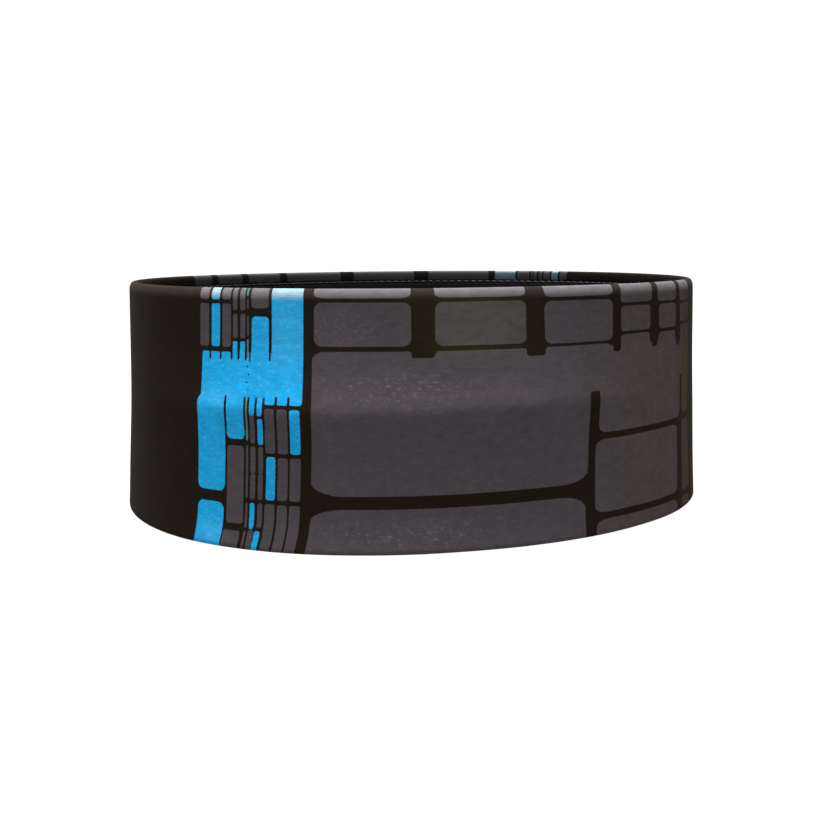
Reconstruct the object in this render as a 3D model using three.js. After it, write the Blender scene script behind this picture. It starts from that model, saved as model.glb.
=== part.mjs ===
// A sports headband: a printed stretch-knit tube turned over its two edges onto a plain lining.
// It stands open on its lower edge, as an oval hoop. Millimetres, +Z up.
// The origin is the middle of the oval, on the surface that the band stands on.

import * as THREE from 'three';

// The band as a whole, measured to its outer face.
const HEIGHT = 64;             // lower edge to upper edge
const HALF_LENGTH = 84;        // middle to outer face along X, halfway up
const HALF_WIDTH = 71;         // middle to outer face along Y, halfway up
const OVAL_FULLNESS = 2.1;     // 2 is an ellipse, and more is squarer
const FLARE = 2;               // how much further out the lower edge stands than the upper edge

// The soft crease that stands out at about half height, and dies away towards the sides.
const CREASE_HEIGHT = 33.5;
const CREASE_DEPTH = 1;
const CREASE_SPREAD = 14;      // above and below the crease
const CREASE_DIRECTION = -111; // degrees round from +X to the crease's middle
const CREASE_HALF_ANGLE = 78;  // from its middle to where it has died away

// The two knits and how they lie.
const OUTER_CLOTH = 0.6;       // thickness of the printed knit
const LINING_CLOTH = 0.5;      // thickness of the lining knit
const LAYER_SPACE = 1.6;       // between the two knits, where the seam allowances lie
const EDGE_RADIUS = 0.9;       // of the soft folds along the upper and lower edges
const TURN_IN = 3;             // how far the printed knit comes down inside

// The sewing.
const THREAD = 0.45;           // thickness of the threads
const OVERLOCK_WIDTH = 1;      // of the chain of thread that binds the hidden raw edges
const CLOSING_DIRECTION = 50;  // degrees round from +X to the middle of the closing row
const CLOSING_LENGTH = 50;     // of the gap through which the band was turned right side out
const CLOSING_PITCH = 4;       // from one closing stitch to the next
const CLOSING_REACH = 1.4;     // above and below the seam

// The blank care label, a folded loop of satin tape at the middle of the back.
const LABEL_WIDTH = 14;
const LABEL_HEIGHT = 18;
const LABEL_TAPE = 0.3;
const LABEL_LOOP = 1.2;        // how thick the folded loop is in all
const LABEL_SEAM = 2;          // from the label's lower edge to the stitches across it
const LABEL_PITCH = 1.6;
const LABEL_REACH = 0.5;

// How close two pieces lie where the real ones touch.
const CLEARANCE = 0.35;

// Worked out from the sizes above.
const WALL = OUTER_CLOTH + LAYER_SPACE + LINING_CLOTH;
const TUCK_DEPTH = WALL - OUTER_CLOTH - CLEARANCE - LINING_CLOTH / 2;
const GROOVE = THREAD + 2 * CLEARANCE;
const SEAM_HEIGHT = TURN_IN + GROOVE / 2;
const LINING_EDGE = TURN_IN + GROOVE;
const OVERLOCK_HEIGHT = OUTER_CLOTH + CLEARANCE + OVERLOCK_WIDTH / 2;
const RAW_EDGE = OVERLOCK_HEIGHT + OVERLOCK_WIDTH / 2 + CLEARANCE;

// How finely the round shapes are cut.
const SEGMENTS = 72;
const FOLD_STEPS = 1;
const WALL_STEPS = 6;
const THREAD_SIDES = 6;
const STITCH_STEPS = 2;
const SAME_POINT = 1e-6;       // points of an outline that are closer than this are one point
const BASE_RADIUS = 100;       // of the plain hoop that is then drawn out to the oval

/** A smooth hump that is 1 at 0 and falls to 0 at its reach on either side. */
function hump(distance, reach) {
  return 0.5 + 0.5 * Math.cos(Math.PI * Math.min(Math.abs(distance) / reach, 1));
}

/** How far the wall leans out in this direction and at this height: the flare, and the crease. */
function lean(angle, height) {
  const flare = FLARE * (0.5 - height / HEIGHT);
  const turn = THREE.MathUtils.radToDeg(angle) - CREASE_DIRECTION;
  const aside = THREE.MathUtils.euclideanModulo(turn + 180, 360) - 180;
  const crease = hump(aside, CREASE_HALF_ANGLE) * hump(height - CREASE_HEIGHT, CREASE_SPREAD);
  return flare + CREASE_DEPTH * crease;
}

/** A point of the band: a direction from the middle, a depth inside the outer face, and a height. */
function bandPoint(angle, depth, height) {
  const sideways = Math.abs(Math.cos(angle) / HALF_LENGTH) ** OVAL_FULLNESS;
  const forwards = Math.abs(Math.sin(angle) / HALF_WIDTH) ** OVAL_FULLNESS;
  const reach = (sideways + forwards) ** (-1 / OVAL_FULLNESS);
  const face = new THREE.Vector3(reach * Math.cos(angle), reach * Math.sin(angle), height);
  const slope = OVAL_FULLNESS - 1;
  const outward = new THREE.Vector3(
    Math.sign(face.x) * Math.abs(face.x / HALF_LENGTH) ** slope / HALF_LENGTH,
    Math.sign(face.y) * Math.abs(face.y / HALF_WIDTH) ** slope / HALF_WIDTH,
    0,
  ).normalize();
  return face.addScaledVector(outward, lean(angle, height) - depth);
}

/** A closed section, as points of depth and height, carried once round the oval. */
function carryRound(section) {
  const profile = section.map((point) => new THREE.Vector2(BASE_RADIUS - point.x, point.y));
  profile.push(profile[0].clone());
  const hoop = new THREE.LatheGeometry(profile, SEGMENTS);
  const places = hoop.getAttribute('position');
  for (let i = 0; i < places.count; i += 1) {
    const angle = Math.atan2(-places.getZ(i), places.getX(i));
    const depth = BASE_RADIUS - Math.hypot(places.getX(i), places.getZ(i));
    const moved = bandPoint(angle, depth, places.getY(i));
    places.setXYZ(i, moved.x, moved.y, moved.z);
  }
  hoop.computeVertexNormals();
  return hoop;
}

/** The section of a cloth of this thickness that follows a path: one side out, the other side back. */
function clothSection(path, thickness) {
  const distinct = (point, i, all) => i === 0 || point.distanceTo(all[i - 1]) > SAME_POINT;
  const middle = path.getPoints(FOLD_STEPS).filter(distinct);
  const normals = middle.slice(1).map((point, i) => {
    const run = point.clone().sub(middle[i]).normalize();
    return new THREE.Vector2(-run.y, run.x);
  });
  const side = (sign) => middle.map((point, i) => {
    const arriving = normals[Math.max(i - 1, 0)];
    const leaving = normals[Math.min(i, normals.length - 1)];
    const mitre = (sign * thickness) / 2 / (1 + arriving.dot(leaving));
    return point.clone().addScaledVector(arriving.clone().add(leaving), mitre);
  });
  return [...side(1), ...side(-1).reverse()];
}

/** Takes a path straight up or down a wall, in steps, so that the cloth can follow the crease. */
function runWall(path, depth, from, to) {
  for (let step = 1; step <= WALL_STEPS; step += 1) {
    path.lineTo(depth, from + ((to - from) * step) / WALL_STEPS);
  }
}

/** A hoop of thread that lies in the band at this depth and height, and is this wide from top to bottom. */
function threadHoop(depth, height, width) {
  const corners = [[-THREAD, -width], [-THREAD, width], [THREAD, width], [THREAD, -width]];
  return carryRound(corners.map(([x, y]) => new THREE.Vector2(depth + x / 2, height + y / 2)));
}

/** A thread that passes to and fro through these points. */
function stitchRow(points) {
  const outline = new THREE.Shape();
  for (let side = 0; side < THREAD_SIDES; side += 1) {
    const angle = (2 * Math.PI * side) / THREAD_SIDES;
    const corner = [(THREAD / 2) * Math.cos(angle), (THREAD / 2) * Math.sin(angle)];
    if (side === 0) {
      outline.moveTo(...corner);
    } else {
      outline.lineTo(...corner);
    }
  }
  const extrudePath = new THREE.CatmullRomCurve3(points, false, 'centripetal');
  const steps = STITCH_STEPS * (points.length - 1);
  return new THREE.ExtrudeGeometry(outline, { steps, extrudePath, bevelEnabled: false });
}

/** The printed knit: down the outside, folded over both edges and a little way along the inside. */
function outerLayer() {
  const half = OUTER_CLOTH / 2;
  const radius = EDGE_RADIUS - half;
  const turned = WALL - half;
  const [low, high] = [half + radius, HEIGHT - half - radius];
  const path = new THREE.Path();
  path.moveTo(turned, HEIGHT - TURN_IN);
  path.absarc(turned - radius, high, radius, 0, Math.PI / 2, false);
  path.absarc(half + radius, high, radius, Math.PI / 2, Math.PI, false);
  runWall(path, half, high, low);
  path.absarc(half + radius, low, radius, Math.PI, 1.5 * Math.PI, false);
  path.absarc(turned - radius, low, radius, 1.5 * Math.PI, 2 * Math.PI, false);
  path.lineTo(turned, TURN_IN);
  return carryRound(clothSection(path, OUTER_CLOTH));
}

/** The lining: up the inside, with both edges stepped back and tucked behind the turned-in knit. */
function innerLayer() {
  const half = LINING_CLOTH / 2;
  const face = WALL - half;
  const [low, high] = [LINING_EDGE + half, HEIGHT - LINING_EDGE - half];
  const path = new THREE.Path();
  path.moveTo(TUCK_DEPTH, RAW_EDGE);
  path.lineTo(TUCK_DEPTH, low);
  path.lineTo(face, low);
  runWall(path, face, low, high);
  path.lineTo(TUCK_DEPTH, high);
  path.lineTo(TUCK_DEPTH, HEIGHT - RAW_EDGE);
  return carryRound(clothSection(path, LINING_CLOTH));
}

/** The zigzag row that closes the turning gap, across the lower seam on the inside. */
function closingStitches() {
  const depth = WALL + CLEARANCE + THREAD / 2;
  const middle = THREE.MathUtils.degToRad(CLOSING_DIRECTION);
  const reach = bandPoint(middle, depth, 0).length();
  const legs = 2 * Math.round(CLOSING_LENGTH / CLOSING_PITCH);
  const points = [];
  for (let leg = 0; leg <= legs; leg += 1) {
    const angle = middle + (CLOSING_LENGTH / reach) * (leg / legs - 0.5);
    const side = leg % 2 === 0 ? -1 : 1;
    points.push(bandPoint(angle, depth, SEAM_HEIGHT + side * CLOSING_REACH));
  }
  return stitchRow(points);
}

/** The label's tape, up, over and down again, as wide as the label. */
function careLabel() {
  const half = LABEL_TAPE / 2;
  const radius = LABEL_LOOP / 2 - half;
  const path = new THREE.Path();
  path.moveTo(half, 0);
  path.lineTo(half, LABEL_HEIGHT - half - radius);
  path.absarc(half + radius, LABEL_HEIGHT - half - radius, radius, Math.PI, 0, true);
  path.lineTo(LABEL_LOOP - half, 0);
  const outline = new THREE.Shape(clothSection(path, LABEL_TAPE));
  return new THREE.ExtrudeGeometry(outline, { depth: LABEL_WIDTH, bevelEnabled: false });
}

/** The row of stitches across the label's face, along X. */
function labelStitches() {
  const run = LABEL_WIDTH - THREAD;
  const legs = 2 * Math.round(run / LABEL_PITCH);
  const points = [];
  for (let leg = 0; leg <= legs; leg += 1) {
    const side = leg % 2 === 0 ? -1 : 1;
    points.push(new THREE.Vector3((leg / legs - 0.5) * run, 0, side * LABEL_REACH));
  }
  return stitchRow(points);
}

const knit = (color) => new THREE.MeshStandardMaterial({ color, roughness: 0.9, metalness: 0 });
const PRINT_CHARCOAL = 0x443e40;
const LINING_BLACK = 0x121113;
const THREAD_BLACK = 0x1b1a1c;
const LABEL_WHITE = 0xdedcd6;

const band = new THREE.Group();

function add(name, geometry, color) {
  const mesh = new THREE.Mesh(geometry, knit(color));
  mesh.name = name;
  band.add(mesh);
  return mesh;
}

add('outer_layer', outerLayer(), PRINT_CHARCOAL);
add('inner_layer', innerLayer(), LINING_BLACK);

const seamDepth = WALL - OUTER_CLOTH / 2;
add('lower_seam_thread', threadHoop(seamDepth, SEAM_HEIGHT, THREAD), THREAD_BLACK);
add('upper_seam_thread', threadHoop(seamDepth, HEIGHT - SEAM_HEIGHT, THREAD), THREAD_BLACK);
add('lower_overlock_thread', threadHoop(TUCK_DEPTH, OVERLOCK_HEIGHT, OVERLOCK_WIDTH), THREAD_BLACK);
add('upper_overlock_thread', threadHoop(TUCK_DEPTH, HEIGHT - OVERLOCK_HEIGHT, OVERLOCK_WIDTH), THREAD_BLACK);
add('closing_stitches', closingStitches(), THREAD_BLACK);

// The flat label stands just above the lower seam, clear of the lining at its nearest corners.
const cornerAngle = Math.atan2(HALF_WIDTH, LABEL_WIDTH / 2);
const nearestWall = bandPoint(cornerAngle, WALL, LINING_EDGE + LABEL_HEIGHT).y;
const labelFace = nearestWall - CLEARANCE - LABEL_LOOP;
const label = add('care_label', careLabel(), LABEL_WHITE);
label.rotation.set(Math.PI / 2, 0, Math.PI / 2, 'ZYX');
label.position.set(-LABEL_WIDTH / 2, labelFace, LINING_EDGE);

const labelRow = add('label_stitches', labelStitches(), THREAD_BLACK);
labelRow.position.set(0, labelFace - CLEARANCE - THREAD / 2, LINING_EDGE + LABEL_SEAM);

export default band;
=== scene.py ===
# %% [markdown]
# # A printed stretch headband
# A sports headband is two tubes of stretch knit. The printed outer tube is turned over both edges onto
# a plain black lining, and sewn to it all the way round. It stands here open, as an oval hoop.
# Each piece below is a surface worked out with numpy from a formula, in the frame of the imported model.

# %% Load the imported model
import math

import bmesh
import bpy
import numpy as np
from mathutils import Matrix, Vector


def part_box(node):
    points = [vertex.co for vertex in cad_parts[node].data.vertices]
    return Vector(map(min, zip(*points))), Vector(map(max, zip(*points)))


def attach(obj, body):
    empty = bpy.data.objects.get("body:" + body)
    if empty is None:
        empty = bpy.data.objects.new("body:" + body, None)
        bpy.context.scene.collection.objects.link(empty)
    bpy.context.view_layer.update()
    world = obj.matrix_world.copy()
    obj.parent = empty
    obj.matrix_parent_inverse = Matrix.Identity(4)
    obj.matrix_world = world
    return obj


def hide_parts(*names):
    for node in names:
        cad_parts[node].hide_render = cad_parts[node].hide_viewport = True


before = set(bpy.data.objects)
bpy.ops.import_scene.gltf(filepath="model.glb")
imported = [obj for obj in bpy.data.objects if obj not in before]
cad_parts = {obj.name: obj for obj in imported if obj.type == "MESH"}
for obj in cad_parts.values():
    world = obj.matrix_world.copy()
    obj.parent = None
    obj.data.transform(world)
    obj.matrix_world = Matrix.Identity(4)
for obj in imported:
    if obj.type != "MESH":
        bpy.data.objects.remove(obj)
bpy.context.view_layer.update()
print("CAD nodes:", sorted(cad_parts))

# %% [markdown]
# ## The sizes come from the frame
# The band is measured in millimetres here and put into its meshes in metres. Its height and oval are read
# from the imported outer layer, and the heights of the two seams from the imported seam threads, so every
# new piece lies where its plain solid lies.

# %% Sizes of the band, in millimetres
MM = 0.001
low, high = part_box("outer_layer")
HEIGHT = (high.z - low.z) / MM
FLARE = 2.0                # how much further out the lower edge stands than the upper edge
HALF_LENGTH = round(high.x / MM - FLARE / 2, 1)
HALF_WIDTH = round(high.y / MM - FLARE / 2, 1)
OVAL_FULLNESS = 2.1        # 2 is an ellipse, and more is squarer
WALL = 2.7                 # outer face to inner face
OUTER_CLOTH = 0.5
LINING_CLOTH = 0.45


def middle_height(node):
    """The height of the middle of a CAD node's box, in millimetres."""
    lowest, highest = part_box(node)
    return (lowest.z + highest.z) / 2 / MM


LOWER_SEAM, UPPER_SEAM = middle_height("lower_seam_thread"), middle_height("upper_seam_thread")
print(f"the band is {HEIGHT:.1f} mm high, on an oval {2 * HALF_LENGTH:.1f} by {2 * HALF_WIDTH:.1f} mm")
print(f"the seams are {LOWER_SEAM:.2f} and {UPPER_SEAM:.2f} mm up")

# %% [markdown]
# ## How the wall leans
# Knit that is turned and sewn never stands dead straight. A soft crease runs round the front at half
# height, the knit below it stands a little wider, and the lower hem flicks out. The two ends of the oval
# are drawn in a little. This could be sculpted by hand, but a formula in direction and height keeps the
# lining, the threads and the printed knit together.

# %% The lean of the wall
CREASE_HEIGHT = 35.0
CREASE_DEPTH = 2.4
CREASE_SPREAD = 9.0        # how far above and below it has mostly died away
CREASE_ROUND = 1.6         # how round its crest is
CREASE_DIRECTION = math.radians(-113)
CREASE_FULL, CREASE_NONE = math.radians(20), math.radians(63)
CREASE_WANDER = 0.5        # how far it goes up and down on its way
SKIRT = 0.15               # how much wider the knit stands below the crease
SKIRT_REACH = 8.0          # it comes on from so far above the crease to so far below it
HEM_FLICK, HEM_REACH = 1.1, 10.0
ENDS_IN, WAIST = 0.4, 0.4  # the two ends of the oval are drawn in at the top, and have a waist
WAVE = 0.14                # soft unevenness all round


def ease(x, start=0.0, end=1.0):
    """The smooth step 3s^2 - 2s^3, where s goes from 0 at x = start to 1 at x = end. It is flat outside."""
    share = np.clip((x - start) / (end - start), 0, 1)
    return share * share * (3 - 2 * share)


def lean(direction, height):
    """Millimetres outwards: a straight flare, plus a rounded ridge that dies away, a wider skirt and a hem
    flick. The last three fade with the turn away from the crease's middle. The ends have a waist, and
    slow sines make it all uneven."""
    turn = np.abs(np.angle(np.exp(1j * (direction - CREASE_DIRECTION))))
    near = ease(turn, CREASE_NONE, CREASE_FULL)
    crest = CREASE_HEIGHT + CREASE_WANDER * np.sin(4 * direction + 1)
    away = np.hypot(height - crest, CREASE_ROUND) - CREASE_ROUND
    ridge = CREASE_DEPTH * np.exp(-away / CREASE_SPREAD)
    skirt = SKIRT * ease(height, CREASE_HEIGHT + SKIRT_REACH, CREASE_HEIGHT - SKIRT_REACH)
    flick = HEM_FLICK * np.clip(1 - height / HEM_REACH, 0, 1) ** 2
    uneven = np.sin(5 * direction + 0.09 * height) + 0.7 * np.sin(9 * direction - 0.13 * height + 2)
    uneven = uneven + 0.4 * np.sin(17 * direction + 0.21 * height + 4)
    at_ends = np.clip(np.cos(2 * direction), 0, 1)
    level = np.clip(height / HEIGHT, 0, 1)
    waist = at_ends * (ENDS_IN * level + WAIST * np.sin(math.pi * level))
    return FLARE * (0.5 - height / HEIGHT) + near * (ridge + skirt + flick) - waist + WAVE * uneven / 2


def oval(direction):
    """The superellipse |x/a|^n + |y/b|^n = 1 at a direction from the middle, and the way straight out."""
    across, along = np.cos(direction), np.sin(direction)
    powers = np.abs(across / HALF_LENGTH) ** OVAL_FULLNESS + np.abs(along / HALF_WIDTH) ** OVAL_FULLNESS
    reach = powers ** (-1 / OVAL_FULLNESS)
    x, y = across * reach, along * reach
    slope = OVAL_FULLNESS - 1
    out_x = np.sign(x) * np.abs(x / HALF_LENGTH) ** slope / HALF_LENGTH
    out_y = np.sign(y) * np.abs(y / HALF_WIDTH) ** slope / HALF_WIDTH
    size = np.hypot(out_x, out_y)
    return x, y, out_x / size, out_y / size


def band_points(direction, depth, height):
    """Points of the band from a direction, and a depth behind the outer face and a height in mm."""
    x, y, out_x, out_y = oval(direction)
    outwards = lean(direction, height) - depth
    x, y, z = np.broadcast_arrays(x + out_x * outwards, y + out_y * outwards, height)
    return np.stack([x, y, z], axis=-1)


print(f"at its middle the crease stands {lean(CREASE_DIRECTION, CREASE_HEIGHT):.1f} mm out from the oval")

# %% [markdown]
# ## A walk round the oval
# Cloth is printed and sewn along its own length, so places on it are given as millimetres walked round
# the outer face from the middle of the front, and positive towards +X. The walk has no neat formula on an
# oval, so it is added up once in small steps and then looked up.

# %% Walk and direction
FRONT = -math.pi / 2
walk_directions = np.linspace(FRONT - math.pi, FRONT + math.pi, 20001)
walk_x, walk_y, _, _ = oval(walk_directions)
walk = np.concatenate([[0], np.cumsum(np.hypot(np.diff(walk_x), np.diff(walk_y)))])
ROUND = walk[-1]
walk = walk - ROUND / 2


def direction_at(place):
    """The direction of a place on the walk, which is in millimetres from the middle of the front."""
    return np.interp((place + ROUND / 2) % ROUND - ROUND / 2, walk, walk_directions)


print(f"once round the outer face is {ROUND:.1f} mm")

# %% [markdown]
# ## From a grid of points to a mesh
# Every cloth and thread here is a grid: rows run along the section, and columns run round the band.
# `surface` joins the last row and column to the first where the shape closes, sets the UV map in metres
# along the cloth, and turns the faces if they point inwards. `foreach_set` writes whole arrays at once.

# %% Helpers that make meshes
THREAD_SIDES, THREAD_TIP = 6, 0.02


def surface(name, points, uv=None, close_rows=False, close_columns=False):
    """A mesh of quads from a (rows, columns, 3) array in millimetres. The uv array has one more row
    or column than the points where the grid closes, so that the map doesn't run backwards there."""
    rows, columns = points.shape[:2]
    row, column = np.meshgrid(
        np.arange(rows - (not close_rows)), np.arange(columns - (not close_columns)), indexing="ij"
    )
    below, beside = (row + 1) % rows, (column + 1) % columns
    this, after = row * columns, below * columns
    quads = np.stack([this + column, this + beside, after + beside, after + column], axis=-1).reshape(-1, 4)
    corners = [(row, column), (row, column + 1), (row + 1, column + 1), (row + 1, column)]
    flat = points.reshape(-1, 3) * MM
    a, b, c, d = (flat[quads[:, k]] for k in range(4))
    six_volumes = np.sum(a * (np.cross(b, c) + np.cross(c, d)))
    if six_volumes < 0:    # the faces point inwards
        quads, corners = quads[:, ::-1], corners[::-1]
    mesh = bpy.data.meshes.new(name)
    mesh.vertices.add(len(flat))
    mesh.vertices.foreach_set("co", flat.astype(np.float32).ravel())
    mesh.loops.add(quads.size)
    mesh.loops.foreach_set("vertex_index", quads.astype(np.int32).ravel())
    mesh.polygons.add(len(quads))
    mesh.polygons.foreach_set("loop_start", np.arange(0, quads.size, 4, dtype=np.int32))
    if uv is not None:
        layer = mesh.uv_layers.new(name="cloth")
        picked = np.stack([uv[i, j] for i, j in corners], axis=2).reshape(-1, 2) * MM
        layer.data.foreach_set("uv", picked.astype(np.float32).ravel())
    mesh.update(calc_edges=True)
    mesh.validate()
    mesh.shade_smooth()
    piece = bpy.data.objects.new(name, mesh)
    bpy.context.scene.collection.objects.link(piece)
    print(f"{name}: {2 * len(quads)} triangles")
    return piece


def number_on_points(piece, name, values):
    """Keeps one number for each point of a mesh, for a material to read."""
    layer = piece.data.attributes.new(name, "FLOAT", "POINT")
    layer.data.foreach_set("value", values.astype(np.float32).ravel())


def close_ends(piece):
    """Fills the small open ring at each end of a thread with one face."""
    shell = bmesh.new()
    shell.from_mesh(piece.data)
    bmesh.ops.holes_fill(shell, edges=[edge for edge in shell.edges if edge.is_boundary])
    bmesh.ops.recalc_face_normals(shell, faces=shell.faces)
    shell.to_mesh(piece.data)
    shell.free()


def thread(name, line, outward, thickness, closed=False):
    """A round thread along a line of points: circles that stand across the line, lined up by `outward`.
    An open thread narrows at its two ends, which are closed."""
    ahead = np.roll(line, -1, axis=0) - np.roll(line, 1, axis=0)
    if not closed:
        ahead[0], ahead[-1] = line[1] - line[0], line[-1] - line[-2]
    ahead /= np.linalg.norm(ahead, axis=1, keepdims=True)
    sideways = np.cross(ahead, outward)
    sideways /= np.linalg.norm(sideways, axis=1, keepdims=True)
    upright = np.cross(sideways, ahead)
    turn = np.linspace(0, 2 * math.pi, THREAD_SIDES, endpoint=False)[:, None, None]
    radius = np.full(len(line), thickness / 2)
    if not closed:
        radius[[0, -1]] = THREAD_TIP
    ring = line + radius[:, None] * (np.cos(turn) * upright + np.sin(turn) * sideways)
    piece = surface(name, ring, close_rows=True, close_columns=closed)
    if not closed:
        close_ends(piece)
    return piece


# %% [markdown]
# ## The section of the printed knit
# Seen cut through, the printed knit runs up the outside, rolls softly over the upper edge and comes a
# little way down inside, and the same below. The roll is a quarter ellipse on the outside and a quarter
# circle on the inside, as a sewn and turned edge is. The outside path is found first, and the hidden
# side of the cloth is the same path moved in by the cloth's thickness.

# %% The path of the printed knit
UPPER_ROLL, LOWER_ROLL = 2.2, 1.3
ROLL_DEPTH = 1.25
INNER_ROLL = WALL - ROLL_DEPTH
GROOVE = 0.85              # the gap in which a seam's thread lies
UPPER_TURN_IN, LOWER_TURN_IN = UPPER_SEAM + GROOVE / 2, LOWER_SEAM - GROOVE / 2
WALL_ROWS, HIDDEN_ROWS = 96, 8
ROLL_ROWS, HIDDEN_ROLL_ROWS = 7, 4


def edge_path(roll, turn_in, roll_rows):
    """Depth, and height above the roll's foot: a quarter ellipse, a quarter circle, then down inside."""
    outer = np.linspace(0, math.pi / 2, roll_rows)
    inner = np.linspace(math.pi / 2, 0, 4)[1:]
    down = np.linspace(roll - INNER_ROLL, roll - turn_in, 4)[1:]
    depth = [ROLL_DEPTH * (1 - np.cos(outer)), ROLL_DEPTH + INNER_ROLL * np.cos(inner), np.full(3, WALL)]
    height = [roll * np.sin(outer), roll - INNER_ROLL + INNER_ROLL * np.sin(inner), down]
    return np.concatenate(depth), np.concatenate(height)


def knit_path(wall_rows, roll_rows):
    """The whole outside path, from the lower turned-in edge, up the wall, to the upper turned-in edge."""
    upper_depth, upper = edge_path(UPPER_ROLL, HEIGHT - UPPER_TURN_IN, roll_rows)
    lower_depth, lower = edge_path(LOWER_ROLL, LOWER_TURN_IN, roll_rows)
    wall = np.linspace(LOWER_ROLL, HEIGHT - UPPER_ROLL, wall_rows)[1:-1]
    depth = np.concatenate([lower_depth[::-1], np.zeros(len(wall)), upper_depth])
    height = np.concatenate([LOWER_ROLL - lower[::-1], wall, HEIGHT - UPPER_ROLL + upper])
    return depth, height


def moved_in(depth, height, thickness):
    """The same path moved to its other side by a thickness, square to its own run."""
    run_depth, run_height = np.gradient(depth), np.gradient(height)
    size = np.hypot(run_depth, run_height)
    return depth + thickness * run_height / size, height - thickness * run_depth / size


def there_and_back(there, back):
    """One closed outline from two paths side by side: along the first, and back along the second."""
    return np.concatenate([there, back[::-1]])


face_depth, face_height = knit_path(WALL_ROWS, ROLL_ROWS)
back_depth, back_height = moved_in(*knit_path(HIDDEN_ROWS, HIDDEN_ROLL_ROWS), OUTER_CLOTH)
section_depth = there_and_back(face_depth, back_depth)
section_height = there_and_back(face_height, back_height)


def along_path(depth, height):
    """Millimetres of cloth from the first point of a path to each of its points."""
    return np.concatenate([[0], np.cumsum(np.hypot(np.diff(depth), np.diff(height)))])


face_run = along_path(face_depth, face_height)
OUTER_CUT = face_run[-1]
print(f"the printed knit is cut {OUTER_CUT:.1f} mm wide, and its section has {len(section_depth)} points")

# %% [markdown]
# ## Columns where the print is fine
# The print has a band of narrow bars, twice round the tube. Columns are set close together there and
# wide apart on the plain stretches, by adding up how many are wanted in each millimetre.

# %% Columns round the band
REPEAT = ROUND / 2         # the print comes twice round the tube
FRONT_FROM, FRONT_TO = -REPEAT / 2 - 30, REPEAT / 2 + 20   # black stretches, where the two prints meet
BACK_SQUEEZE, BACK_SHIFT = 0.955, -4.3   # the knit at the back is less stretched
FINE_FROM, FINE_TO = -89.0, -53.0
FINE_STEP, PLAIN_STEP = 0.26, 1.05


def to_print(place):
    """From a place on the walk to a place in the print's own repeat."""
    place = (place + ROUND / 2) % ROUND - ROUND / 2
    behind = (place < FRONT_FROM) | (place > FRONT_TO)
    from_back = np.where(place > 0, place - REPEAT, place + REPEAT)
    return np.where(behind, (from_back - BACK_SHIFT) / BACK_SQUEEZE, place)


fine_walk = np.linspace(-ROUND / 2, ROUND / 2, 40001)
in_print = to_print(fine_walk)
wanted = np.where((in_print > FINE_FROM) & (in_print < FINE_TO), 1 / FINE_STEP, 1 / PLAIN_STEP)
running = np.concatenate([[0], np.cumsum((wanted[1:] + wanted[:-1]) / 2 * np.diff(fine_walk))])
COLUMNS = int(running[-1])
columns = np.interp(np.arange(COLUMNS) * running[-1] / COLUMNS, running, fine_walk)
print(f"{COLUMNS} columns round the printed knit")

# %% [markdown]
# ## The print as rounded cells
# The pattern is a wall of rounded cells, charcoal and blue, on a black ground, like a city plan. Each
# cell is a rectangle with quarter-ellipse corners, and its signed distance in millimetres is kept on the
# mesh: below nought inside, above nought outside. The material cuts the distance at nought, so an edge
# stays sharp between two points of the mesh, which painted colours wouldn't do.


# %% Signed distances of cells
def cell_distance(u, z, cell):
    """Below nought inside a rectangle (left, right, low, high) whose corners are quarter ellipses."""
    left, right, bottom, top, across, along = cell
    side = np.abs(u - (left + right) / 2) - (right - left) / 2
    end = np.abs(z - (bottom + top) / 2) - (top - bottom) / 2
    past_side, past_end = np.maximum(side / across + 1, 0), np.maximum(end / along + 1, 0)
    corner = (np.hypot(past_side, past_end) - 1) * min(across, along)
    return np.where((past_side > 0) & (past_end > 0), corner, np.maximum(side, end))


def nearest(u, z, cells):
    """The signed distance of many cells together: the least of theirs."""
    distance = np.full(u.shape, 99.0)
    for cell in cells:
        distance = np.minimum(distance, cell_distance(u, z, cell))
    return distance


OVER, UNDER = 80.0, -16.0  # cells that run over an edge go on inside


def cell(left, right, bottom, top, across=0.5, along=None):
    """One cell in millimetres, with the reach of its round corners."""
    return left, right, bottom, top, across, along or across


def stack(left, right, edges, across=0.45):
    """Cells above each other in one column, from pairs of a lower and an upper edge."""
    return [cell(left, right, bottom, top, across) for bottom, top in edges]


# %% [markdown]
# ### The narrow bars
# The busy part of the print is a block about 30 mm wide: columns of thin bars above and below a solid
# blue belt, with black ticks that reach into the belt like the teeth of a comb.

# %% Bars and belt
TOP_ROW = (61.2, OVER)
blue_cells = [cell(-84.0, -55.8, 36.4, 48.6, 0.6), cell(-63.8, -55.8, 40.0, OVER, 0.8)]
blue_cells += stack(-81.0, -78.4, [(49.8, 60.2), TOP_ROW])
blue_cells += [cell(-74.5, -73.2, 46.0, 51.2, 0.3), cell(-72.4, -71.0, 46.0, 51.2, 0.3)]
blue_cells += [cell(-69.2, -64.6, 45.0, 57.3, 1.0), cell(-75.8, -70.7, 27.6, 40.0, 1.2)]
blue_cells += [cell(-85.1, -76.4, 14.2, 37.8, 1.6, 2.0), cell(-85.0, -76.7, UNDER, 11.3, 1.8)]
blue_cells += [cell(-69.2, -67.7, 33.8, 40.0, 0.3), cell(-67.1, -65.7, 33.7, 40.0, 0.3)]
blue_cells += [cell(-67.1, -65.7, 26.7, 32.9, 0.3)]
blue_cells += [cell(-64.95, -62.6, 12.9, 23.6, 0.5), cell(-58.8, -56.3, 24.5, 35.4, 0.5)]
blue_cells += [cell(-69.2, -67.9, 5.7, 11.9, 0.3), cell(-67.5, -66.0, UNDER, 5.0, 0.3)]

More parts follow.
